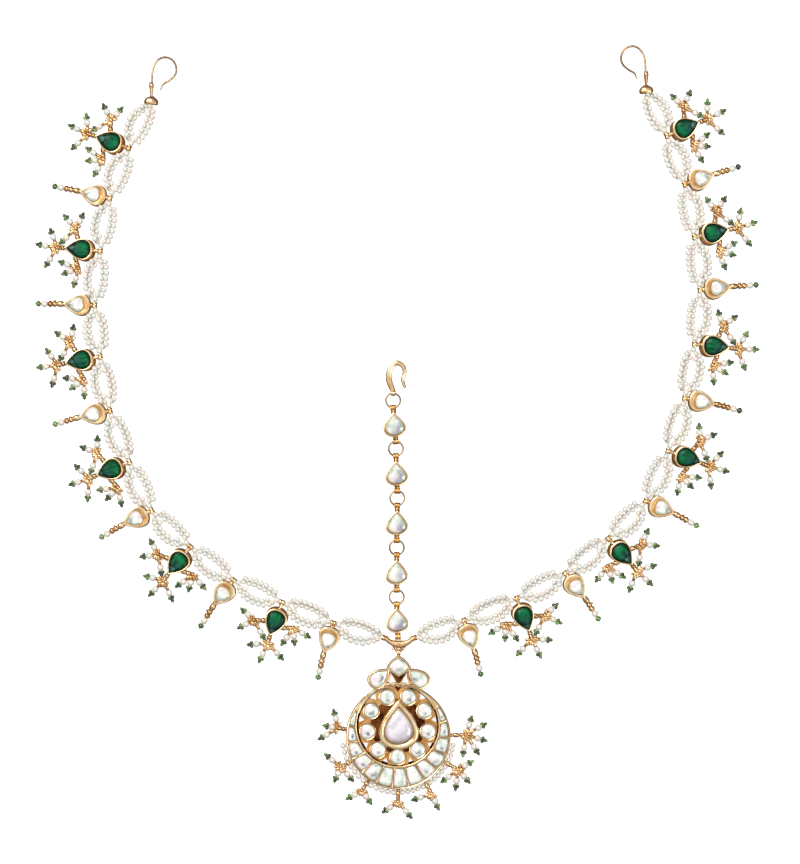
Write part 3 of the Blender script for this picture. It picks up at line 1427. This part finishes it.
def crescent_step():
    r = DISC_R - RIM_W - CRESCENT_END_W
    q = CIRCLE_R + RIM_W
    c = CIRCLE.length
    end = math.degrees(math.acos((r * r + c * c - q * q) / (2 * r * c)))
    return 2 * (180 - end) / CRESCENT_COUNT


def wedge_edge(i):
    """Outline of one stone of the crescent, its corners eased."""
    step = crescent_step()
    middle = CRESCENT_FOOT + (i - (CRESCENT_COUNT - 1) / 2) * step
    outer = DISC_R - RIM_W - 0.08
    half = step / 2 - math.degrees((PARTITION_W / 2 + 0.02) / outer)
    count = 7
    turns = [half * (2 * k / (count - 1) - 1) for k in range(count)]
    ring = [polar(outer, middle + t) for t in turns]
    ring += [polar(circle_edge(middle + t, RIM_W + 0.08), middle + t) for t in reversed(turns)]
    points = [flat(p) for p in ring]
    eased = []
    for k, p in enumerate(points):
        corner = k in (0, count - 1, count, 2 * count - 1)
        neighbours = (points[k - 1] + points[(k + 1) % len(points)]) / 2
        eased.append(p * 0.75 + neighbours * 0.25 if corner else p)
    return grown_edge(eased)


def petal_edge(i, sides=28):
    """A petal stone, a little broader outside than towards the centre."""
    direction = PETAL_START + 360 * i / PETAL_COUNT
    at = PETALS + polar(PETAL_RING_R, direction)

    def edge(out):
        points = []
        for k in range(sides):
            a = math.tau * k / sides
            r = PETAL_R + out
            local = Vector((r * math.cos(a) * 0.98, r * math.sin(a) * (1 + 0.1 * math.cos(a)), 0))
            points.append(flat(at) + turn(direction) @ local)
        return points

    return edge


def centre_place():
    return shift(CENTRE_FOOT.x, CENTRE_FOOT.y) @ turn(90)


def rim_tassels():
    """Root, cap and wire ends of each tassel round the rim, from the pendant's middle."""
    for direction, reach, ends in RIM_TASSELS:
        cap = polar(DISC_R + reach, direction)
        yield cap.normalized() * (DISC_R - 0.1), cap, [cap + Vector(e) for e in ends]


def crown_drop_place(side):
    return (shift(CROWN_TOP.x, 0) @ Matrix.Diagonal((side, 1, 1, 1))
            @ shift(CROWN_DROP_TIP.x, CROWN_DROP_TIP.y) @ turn(CROWN_DROP_TURN)
            @ shift(bezel_length(CROWN_DROP), 0) @ turn(180))


def kite_edge():
    """The crown's middle stone: domed above, pointed below."""
    wide = Vector((2 * CROWN_TOP.x - CROWN_SIDE.x, CROWN_SIDE.y))
    inward = grown_edge(bowed([CROWN_TOP, CROWN_SIDE, CROWN_FOOT, wide], [1.14, -0.53, -0.53, 1.14]))
    return lambda out: inward(out - CROWN_OUT)


def onion_edge():
    """The window of that stone, which ends well above the crown's foot."""
    return grown_edge(bowed(
        [CROWN_TOP - Vector((0, 0.75)), CROWN_SIDE + Vector((0.6, 0.2)), CROWN_FOOT + Vector((0, 4.5)),
         Vector((2 * CROWN_TOP.x - CROWN_SIDE.x - 0.6, CROWN_SIDE.y + 0.2))], [0.8, 0.5, 0.5, 0.8]))


def bowed(corners, bows):
    """An outline through corners whose sides bow outwards by these lengths."""
    points = []
    for k, corner in enumerate(corners):
        after = corners[(k + 1) % len(corners)]
        run = (after - corner).normalized()
        control = (corner + after) / 2 + Vector((run.y, -run.x)) * bows[k]
        for step in range(7):
            t = step / 7
            points.append(flat(corner * (1 - t) ** 2 + control * 2 * t * (1 - t) + after * t * t))
    return points


def band(bm, centre, r, profile):
    """A hoop; its profile's points are (distance outside this radius, height)."""
    spun(bm, [(r + out, z) for out, z in profile], shift(*centre), 96)


def thin_profile(out, h, inner):
    """A thin bezel whose burnished edge lies inner outside the girdle."""
    return [
        (out + 0.08, 0), (out + 0.1, 0.35), (out + 0.02, 0.7), (out - 0.02, h - 0.4),
        (out - 0.07, h - 0.12), ((out + inner) / 2, h), (inner + 0.05, h - 0.06), (inner, h - 0.22),
        (inner, FLOOR_H),
    ]


class MATHA_OT_pendant_frame(bpy.types.Operator):
    """The pendant's pierced gold: crescent, ring of petals, centre bezel and crown"""

    bl_idname = "matha.pendant_frame"
    bl_label = "Pendant frame"

    def execute(self, context):
        heap = Heap()
        for build, finish in ((self.disc, GOLD), (self.gallery, SHEET), (self.recesses, RECESS)):
            bm = bmesh.new()
            build(bm)
            heap.add(Shape(bm, finish), in_pendant())

        bm = bmesh.new()
        out, h = CENTRE.out, CENTRE.bezel_h
        cup(bm, pear_edge(CENTRE, 64), [
            (out + 0.3, 0), (out + 0.32, 1.2), (out + 0.24, h - 1.3), (out + 0.3, h - 1.1),
            (out + 0.2, h - 0.8), (out + 0.05, h - 0.36), (out - 0.3, h - 0.06), (0.3, h + 0.06),
            (-0.3, h - 0.02), (-0.65, h - 0.2), (-0.85, h - 0.46), (-0.9, h - 0.7), (-0.9, FLOOR_H)])
        heap.add(Shape(bm), in_pendant(centre_place()))
        for side in (1, -1):
            bm = bmesh.new()
            cup(bm, pear_edge(CROWN_DROP), thin_profile(CROWN_DROP.out, CROWN_H, 0.5))
            heap.add(Shape(bm), in_pendant(crown_drop_place(side)))
        bm = bmesh.new()
        self.crown(bm)
        heap.add(Shape(bm), in_pendant())

        for shape in tassel_goldwork(rim_tassels(), 0.45, 0.9, random.Random("rim")):
            heap.add(shape, in_pendant())
        heap.piece("pendant_goldwork", "gold", "pendant_frame")
        return {"FINISHED"}

    def disc(self, bm):
        """The rim, the wall round the open circle, the crescent's cells and the petals' bezels."""
        h = DISC_H
        band(bm, (0, 0), DISC_R, [
            (-0.1, 0), (0.02, 0.4), (-0.1, 0.9), (-0.04, h - 0.5), (-0.12, h - 0.16), (-0.38, h),
            (-0.62, h - 0.1), (-0.72, h - 0.4), (-0.72, 0)])
        h = DISC_H - 0.12
        band(bm, CIRCLE, CIRCLE_R, [
            (0.7, 0), (0.7, h - 0.36), (0.58, h - 0.06), (0.36, h), (0.1, h - 0.1), (0, h - 0.4),
            (-0.02, 0)])
        self.crescent_floor(bm)
        self.partitions(bm)
        for i in range(PETAL_COUNT):
            cup(bm, petal_edge(i), thin_profile(PETAL_OUT, PETAL_H, 0.4))

    def recesses(self, bm):
        """What lies deep: the foot of the circle's wall, the petals' plate and the crown's ground."""
        band(bm, CIRCLE, CIRCLE_R, [
            (0.02, DISC_H - 0.62), (-0.3, 1.7), (-0.62, 1.3), (-0.7, 0.9), (-0.7, 0.05), (0.1, 0.05)])
        self.rosette_plate(bm)
        slab(bm, kite_edge()(0.4), 0.3, 0.6)

    def crown(self, bm):
        """The kite's two rims, the bars beside it and the bail on top."""
        h = CROWN_H
        cup(bm, kite_edge(), [
            (CROWN_OUT + 0.08, 0), (CROWN_OUT, 0.7), (CROWN_OUT - 0.04, h - 0.3),
            (CROWN_OUT - 0.16, h - 0.06), (0.4, h - 0.04), (0.32, h - 0.3), (0.32, 0)], hoop=True)
        cup(bm, onion_edge(), [
            (0.42, 0.6), (0.42, h - 0.2), (0.3, h + 0.02), (0.12, h + 0.04), (0.04, h - 0.1), (0.04, 0.6)],
            hoop=True)
        for side in (1, -1):
            for r, rows in (
                    (0.42, [(7.9, 18.2, 1.9), (5.2, 19.3, 2.4), (2.6, 19.0, 2.4), (0.3, 18.4, 2.4)]),
                    (0.4, [(3.7, 24.4, 1.6), (3.4, 21.6, 1.6), (4.4, 19.0, 1.6)])):
                tube(bm, smooth_path([(CROWN_TOP.x + side * x, y, z) for x, y, z in rows], 5), r, sides=10)
        at = YOKE_LOW_LOOP - Vector((0, YOKE_LOOP_R)) - PENDANT
        bail(bm, at, (0, 1), 0.8)
        foot = flat(CROWN_TOP - Vector((0, 0.5)), LOOP_Z)
        rod(bm, flat(at - Vector((0, LOOP_R)), LOOP_Z), foot, 0.5, 0.6)

    def crescent_floor(self, bm):
        """The plate under the crescent's stones, solid gold up to the rims beyond its two points."""
        reach = crescent_step() * CRESCENT_COUNT / 2
        outer_r = DISC_R - 0.5
        steps = 80
        for low, high, h in ((CRESCENT_FOOT - reach, CRESCENT_FOOT + reach, FLOOR_H),
                             (CRESCENT_FOOT + reach, CRESCENT_FOOT + 360 - reach, DISC_H - 0.42)):
            turns = [low + (high - low) * k / steps for k in range(steps + 1)]
            outline = [flat(polar(outer_r, a)) for a in turns]
            for a in reversed(turns):
                outline.append(flat(polar(min(circle_edge(a, -0.3), outer_r - 0.02), a)))
            slab(bm, outline, 0.05, h)

    def partitions(self, bm):
        """A thin wall with a round wire along its top beside each of the crescent's stones."""
        top = DISC_H - 0.3
        for k in range(CRESCENT_COUNT + 1):
            a = CRESCENT_FOOT + (k - CRESCENT_COUNT / 2) * crescent_step()
            inner = flat(polar(circle_edge(a, 0.4), a), top - 0.15)
            outer = flat(polar(DISC_R - 0.4, a), top - 0.15)
            rod(bm, inner, outer, 0.13, sides=8)
            size = Matrix.Diagonal(((outer - inner).length, PARTITION_W * 0.5, top - FLOOR_H - 0.2, 1))
            place = shift(*((inner + outer) / 2).xy, (FLOOR_H + top) / 2) @ turn(a)
            bmesh.ops.create_cube(bm, size=1, matrix=place @ size)

    def gallery(self, bm):
        """Sheet gold between the petals and the ring, pierced with a small triangle beside each gap."""
        for i in range(PETAL_COUNT):
            middle = PETAL_START + (i + 0.5) * 360 / PETAL_COUNT
            for hand in (-1, 1):
                plan = [(9.9, 17 * hand), (14.2, 17 * hand), (14.2, 5.2 * hand), (12.2, 0), (9.9, 0)]
                outline = [flat(PETALS + polar(r, middle + a)) for r, a in plan]
                slab(bm, outline, 0.25, PLATE_H + 0.3)

    def rosette_plate(self, bm):
        """The sunk plate that joins the petals, and the dark ground in the gap below the crown."""
        r, h = PETAL_RING_R, PLATE_H
        spun(bm, [(0, 0), (r - 0.5, 0), (r - 0.4, 0.2), (r - 0.4, h - 0.3), (r - 0.6, h), (0, h)],
             shift(*PETALS), 72, closed=False)
        gap = [flat(PETALS + polar(r, a)) for r, a in ((9.9, 100), (14.2, 97), (14.2, 83), (9.9, 80))]
        slab(bm, gap, 0.25, 0.7)


class MATHA_OT_pendant_stones(bpy.types.Operator):
    """The pendant's uncut diamonds"""

    bl_idname = "matha.pendant_stones"
    bl_label = "Pendant diamonds"

    def execute(self, context):
        stone = gem(pear_edge(CENTRE, 28), CENTRE.bezel_h, CENTRE.top, -0.82, drop=0.35)
        heap = Heap().add(stone, in_pendant(centre_place()), 0.21)
        heap.piece("pendant_centre_diamond", "polki", "pendant_centre_stone", "foiled_diamond_centre")

        heap = Heap()
        for i in range(PETAL_COUNT):
            stone = gem(petal_edge(i, 18), PETAL_H, PETAL_H + STONE_RISE, 0.46)
            heap.add(stone, in_pendant(), (i * 0.61) % 1)
        heap.piece("pendant_petal_diamonds", "polki", "pendant_petal_stones", "foiled_diamond_rose")

        heap = Heap()
        for i in range(CRESCENT_COUNT):
            lowest = abs(i - (CRESCENT_COUNT - 1) / 2) < 2
            stone = gem(wedge_edge(i), DISC_H, DISC_H + STONE_RISE, 0.15, shares=(0.88, 0.7, 0.35),
                        finish=int(lowest))
            heap.add(stone, in_pendant(), (i * 0.41) % 1)
        heap.piece("pendant_crescent_diamonds", "polki", "pendant_crescent_stones",
                   "foiled_diamond_rose", "foiled_diamond_calm")

        heap = Heap()
        stone = gem(pear_edge(CROWN_DROP, 20), CROWN_H, CROWN_H + STONE_RISE, 0.55)
        for side in (1, -1):
            heap.add(stone, in_pendant(crown_drop_place(side)), 0.3 + 0.2 * side)
        stone = gem(onion_edge(), CROWN_H, CROWN_H + STONE_RISE, 0.1, base_z=STONE_BASE + 0.7)
        heap.add(stone, in_pendant(), 0.7)
        heap.piece("pendant_crown_diamonds", "polki", "pendant_crown_stones", "foiled_diamond_rose")
        return {"FINISHED"}


class MATHA_OT_pendant_pearls(bpy.types.Operator):
    """Seed pearls, tassel pearls and green beads round the pendant's rim"""

    bl_idname = "matha.pendant_pearls"
    bl_label = "Pendant pearls"

    def execute(self, context):
        seed_r = radius("seed_pearl")
        rng = random.Random("pendant")
        pearl = bead_shape(1, 12, 8, 0.94)
        edge_r = DISC_R + seed_r + 0.15
        edge_to = EDGE_FROM + EDGE_SWEEP
        stem_room = math.degrees(0.6 / edge_r)
        stems = sorted(t[0] for t in RIM_TASSELS if EDGE_FROM < t[0] < edge_to)
        pearls = Heap()
        for low, high in zip([EDGE_FROM] + stems, stems + [edge_to]):
            low += stem_room if low != EDGE_FROM else 0
            high -= stem_room if high != edge_to else 0
            arc = math.radians(high - low) * edge_r
            count = round(arc / (2 * seed_r * 0.99))
            for k in range(count):
                a = low + (high - low) * (k + 0.5) / count
                at = flat(PENDANT + polar(edge_r, a), seed_r * rng.uniform(1.0, 1.12))
                add_pearl(pearls, pearl, at, flat(polar(1, a + 90)), rng, min(seed_r, arc / count / 2))
        pearls.piece("pendant_rim_pearls", "seed_pearl", "pendant_edge_pearls", "nacre")

        bm = bmesh.new()
        path = [flat(polar(edge_r, EDGE_FROM + EDGE_SWEEP * k / 84), seed_r) for k in range(85)]
        tube(bm, path, radius("thread"), sides=5)
        silk = Heap().add(Shape(bm), in_pendant())
        silk.piece("pendant_rim_thread", "seed_pearl", None, "silk_thread")

        pearls, greens = dressed([
            (flat(PENDANT + cap, WIRE_Z), flat(PENDANT + end, WIRE_Z))
            for _, cap, ends in rim_tassels() for end in ends], rng)
        pearls.piece("pendant_tassel_drops", "pearl", "pendant_tassel_pearls", "nacre")
        greens.piece("pendant_green_beads", "emerald", None, "green_glass")
        return {"FINISHED"}


class MATHA_OT_stage(bpy.types.Operator):
    """White table, soft lamps and the camera straight above"""

    bl_idname = "matha.stage"
    bl_label = "Stage"

    def execute(self, context):
        studio = context.scene.studio_settings
        self.table(context)
        self.lamps(context, studio)
        camera = bpy.data.cameras.new("camera")
        camera.sensor_width = 36
        camera.lens = studio.lens
        camera.clip_start = 0.05
        camera.clip_end = 20
        eye = bpy.data.objects.new("camera", camera)
        distance = studio.frame_height * studio.lens / camera.sensor_width
        eye.location = (0.00101, -0.00031, distance + 0.0015)
        context.scene.collection.objects.link(eye)
        context.scene.camera = eye
        context.scene.view_settings.view_transform = "Standard"
        context.scene.view_settings.look = "None"
        return {"FINISHED"}

    def table(self, context):
        bm = bmesh.new()
        bmesh.ops.create_grid(bm, x_segments=12, y_segments=12, size=1.6)
        mesh = bpy.data.meshes.new("white_table")
        bm.to_mesh(mesh)
        bm.free()
        table = bpy.data.objects.new("white_table", mesh)
        context.scene.collection.objects.link(table)
        add, finish = new_material("lit_acrylic_table")
        grain = mottled(add, 40, 2)
        tint = add("ShaderNodeValToRGB", {"Fac": grain}, [(0.3, "F6F6F5"), (0.7, "FAFAFA")])["Color"]
        finish({"Base Color": tint, "Emission Color": tint, "Roughness": 0.55, "Emission Strength": 0.78})
        mesh.materials.append(bpy.data.materials["lit_acrylic_table"])
        table.visible_diffuse = False
        table.visible_glossy = False

    def lamps(self, context, studio):
        world = bpy.data.worlds.new("white_room")
        world.use_nodes = True
        world.node_tree.nodes.clear()
        add = partial(add_node, world.node_tree)
        place = add("ShaderNodeTexCoord")["Generated"]
        height = add("ShaderNodeSeparateXYZ", {"Vector": place})["Z"]
        shade = add("ShaderNodeValToRGB", {"Fac": height}, [
            (0.0, "8E877E"), (0.42, "7C766E"), (0.56, "A8A6A2"), (0.75, "E4E4E2"),
            (1.0, "FDFDFD")])["Color"]
        back = add("ShaderNodeBackground", {"Color": shade, "Strength": studio.sky})["Background"]
        add("ShaderNodeOutputWorld", {"Surface": back})
        context.scene.world = world
        for name, at, size, power, colour in (
                ("key_softbox", (-0.55, 0.75, 1.2), 0.8, studio.key_power, "FFFDF8"),
                ("fill_softbox", (0.9, -0.35, 1.0), 0.7, studio.key_power * 0.35, "FAFCFF")):
            lamp = bpy.data.lights.new(name, "AREA")
            lamp.energy = power
            lamp.size = size
            lamp.color = linear(colour)[:3]
            obj = bpy.data.objects.new(name, lamp)
            obj.location = at
            obj.rotation_euler = (-Vector(at)).to_track_quat("-Z", "Y").to_euler()
            context.scene.collection.objects.link(obj)


OPERATORS = [
    MATHA_OT_stage,
    MATHA_OT_emerald_settings,
    MATHA_OT_emeralds,
    MATHA_OT_polki_settings,
    MATHA_OT_polki_stones,
    MATHA_OT_tassel_pearls,
    MATHA_OT_pearl_strands,
    MATHA_OT_side_hooks,
    MATHA_OT_centre_chain,
    MATHA_OT_yoke,
    MATHA_OT_pendant_frame,
    MATHA_OT_pendant_stones,
    MATHA_OT_pendant_pearls,
]


class MATHA_PT_panel(bpy.types.Panel):
    """Lists the pieces of the jewel"""

    bl_label = "Matha patti"
    bl_idname = "MATHA_PT_panel"
    bl_space_type = "VIEW_3D"
    bl_region_type = "UI"
    bl_category = "Jewel"

    def draw(self, context):
        scene = context.scene
        for group in (scene.jewel_sizes, scene.jewel_colours, scene.studio_settings):
            box = self.layout.box()
            for name in group.__annotations__:
                box.prop(group, name)
        for operator in OPERATORS:
            self.layout.operator(operator.bl_idname)


def register():
    for cls in SETTINGS + OPERATORS + [MATHA_PT_panel]:
        bpy.utils.register_class(cls)
    bpy.types.Scene.jewel_sizes = bpy.props.PointerProperty(type=JewelSizes)
    bpy.types.Scene.jewel_colours = bpy.props.PointerProperty(type=JewelColours)
    bpy.types.Scene.studio_settings = bpy.props.PointerProperty(type=StudioSettings)


def unregister():
    del bpy.types.Scene.jewel_sizes
    del bpy.types.Scene.jewel_colours
    del bpy.types.Scene.studio_settings
    for cls in reversed(SETTINGS + OPERATORS + [MATHA_PT_panel]):
        bpy.utils.unregister_class(cls)


def main():
    register()
    for operator in OPERATORS:
        group, name = operator.bl_idname.split(".")
        getattr(getattr(bpy.ops, group), name)()


if __name__ == "__main__":
    main()
